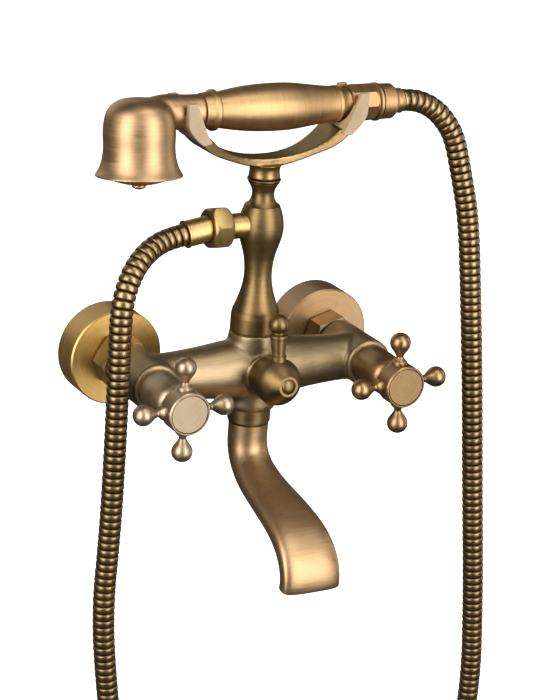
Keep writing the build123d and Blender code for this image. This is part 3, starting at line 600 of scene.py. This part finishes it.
linerSet = {
    # one liner seen from the front, in mm: x from the middle, height above the crescent's inner face
    "outline": [(45.0, 14.5), (49.0, 22.0), (52.8, 31.0), (55.9, 39.4), (61.6, 39.4), (61.4, 30.0),
                (60.6, 24.6), (56.5, 18.6), (51.0, 13.5)],
    "half": 15.4,          # half the liner's width, front to back
    "roomStart": 30.0,     # the handset's room runs from here to roomEnd, away from the middle
    "roomEnd": 75.0,
    "crescent": 137.5,     # the crescent's inner face, above the valves
    "slot": 11.6,          # radii of the rooms for the handset's neck, nut and ring
    "nutSlot": 12.9,
    "nutSlotStart": 53.2,
    "ringSlot": 12.9,
    "ringSlotEnd": 47.8,
    "metalEnd": 17.0,      # the crescent's metal stops at this height, inside the liner
    "voxel": 0.0006,
}


def cutter(name, radius, start, end, side):
    # room for the handset: a round bar with open space above it
    place = Matrix.Translation((0, -bodyReach, handsetZ)) @ Matrix.Rotation(handsetTilt, 4, "Y")
    bar = turnedPiece(name, [(0.0, start), (radius, start), (radius, end), (0.0, end)],
                      place @ Matrix.Scale(side, 4, (1, 0, 0)) @ Matrix.Rotation(quarter, 4, "Y"), 48)
    bpy.ops.object.select_all(action="DESELECT")
    bpy.ops.mesh.primitive_cube_add(size=1.0, location=(0, 0, 0))
    room = bpy.context.object
    room.data.transform(place @ Matrix.Translation((side * (start + end) / 2 * mm, 0, 0.020))
                        @ Matrix.Diagonal(((end - start) * mm, 2 * radius * mm, 0.040, 1.0)))
    return [bar, room]


def makeLiner(side, name):
    look = linerSet
    base = look["crescent"] * mm + valveRise
    near = -bodyReach - look["half"] * mm
    corners = softLine(look["outline"][:4], 4) + softLine(look["outline"][4:], 4)
    liner = drawnLine(name, [Vector((side * x * mm, near, base + z * mm)) for x, z in corners])
    bpy.ops.mesh.edge_face_add()
    bpy.ops.mesh.extrude_region_move(TRANSFORM_OT_translate={"value": (0, 2 * look["half"] * mm, 0)})
    bpy.ops.mesh.select_all(action="SELECT")
    bpy.ops.mesh.normals_make_consistent(inside=False)
    bpy.ops.object.mode_set(mode="OBJECT")
    start, end = look["roomStart"], look["roomEnd"]
    rooms = cutter("Room", look["slot"], start, end, side)
    if side > 0:
        rooms += cutter("NutRoom", look["nutSlot"], look["nutSlotStart"], end, side)
        rooms += cutter("RingRoom", look["ringSlot"], start, look["ringSlotEnd"], side)
    for room in rooms:
        finishWith(liner, "BOOLEAN", operation="DIFFERENCE", object=room, solver="EXACT")
        bpy.data.objects.remove(room)
    finishWith(liner, "BEVEL", width=0.00045, segments=3, limit_method="ANGLE",
               angle_limit=math.radians(35))
    return liner


def makeCradle():
    # the crescent stops inside its two plastic liners
    cradle = ownCopy("cradle", "CradleCrescent")
    pick(cradle)
    bpy.ops.object.mode_set(mode="EDIT")
    bpy.ops.mesh.select_all(action="SELECT")
    end = (linerSet["crescent"] + linerSet["metalEnd"]) * mm + valveRise
    bpy.ops.mesh.bisect(plane_co=(0, 0, end), plane_no=(0, 0, 1), use_fill=True, clear_outer=True)
    bpy.ops.object.mode_set(mode="OBJECT")
    finishWith(cradle, "REMESH", mode="VOXEL", voxel_size=linerSet["voxel"], adaptivity=0.0)
    finishWith(cradle, "SMOOTH", factor=0.5, iterations=5)
    settle(cradle, "mixer_body", "cradle")
    for side, hand in ((-1, "Left"), (1, "Right")):
        liner = makeLiner(side, f"{hand}ForkLiner")
        settle(liner, "mixer_body", f"{hand.lower()}_fork_liner", angle=40.0)


makeCradle()
print("cradle done")
makeBody()
print("body done")
makeBell()
print("bell done")
makeColumnNut()
print("nut done")

for name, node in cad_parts.items():
    if name != "hose":     # the ribbed hose stands for it
        for slotEntry in node.material_slots:
            slotEntry.material = nodeFinish[name]
print("finishes done")

stageSet = {
    "floorZ": -0.56,
    "floorSize": 30.0,
    "room": 0.07,
    "lights": [
        # name, place, size, power, what it points at
        ("LeftPanel", (-1.75, -0.75, 0.55), (1.15, 2.4), 36.0, (0.0, -0.06, 0.0)),
        ("RightPanel", (0.62, -1.95, 0.45), (1.15, 2.4), 36.0, (0.0, -0.06, 0.0)),
        ("TopPanel", (0.3, -0.9, 2.0), (1.2, 0.7), 10.0, (0.0, -0.06, 0.0)),
        ("SidePanel", (2.0, -0.2, 0.2), (0.5, 2.0), 6.0, (0.0, -0.06, 0.0)),
        ("BackPanel", (-0.3, 2.4, 0.9), (2.6, 1.6), 10.0, (0.0, 0.0, 0.0)),
    ],
}


def makeStage():
    bpy.ops.object.select_all(action="DESELECT")
    bpy.ops.mesh.primitive_plane_add(size=stageSet["floorSize"], location=(0, 0, stageSet["floorZ"]))
    floor = bpy.context.object
    floor.name = "Floor"
    f = Finish("paleFloor")
    place = f.node("ShaderNodeTexCoord", {}, {}, 3)
    cloud = f.noise(place, 2.0)
    f.surface(Base_Color=f.blendColour(cloud, (0.93, 0.93, 0.93), (0.96, 0.96, 0.96)), Roughness=0.9,
              Emission_Color=(1.0, 1.0, 1.0), Emission_Strength=0.92)
    floor.data.materials.append(f.material)
    floor.visible_glossy = False     # the brass then shows only the soft panels
    floor.visible_diffuse = False
    for name, place, size, power, target in stageSet["lights"]:
        data = bpy.data.lights.new(name, "AREA")
        data.shape = "RECTANGLE"
        data.size, data.size_y = size
        data.energy = power
        lamp = bpy.data.objects.new(name, data)
        bpy.context.scene.collection.objects.link(lamp)
        lamp.location = place
        lamp.rotation_euler = (Vector(target) - Vector(place)).to_track_quat("-Z", "Y").to_euler()
    world = bpy.data.worlds.new("PaleRoom")
    world.use_nodes = True
    world.node_tree.nodes["Background"].inputs[0].default_value = (1.0, 1.0, 1.0, 1.0)
    world.node_tree.nodes["Background"].inputs[1].default_value = stageSet["room"]
    bpy.context.scene.world = world
    bpy.context.scene.view_settings.view_transform = "Standard"
    bpy.context.scene.view_settings.look = "Medium High Contrast"


makeStage()
print("stage done")
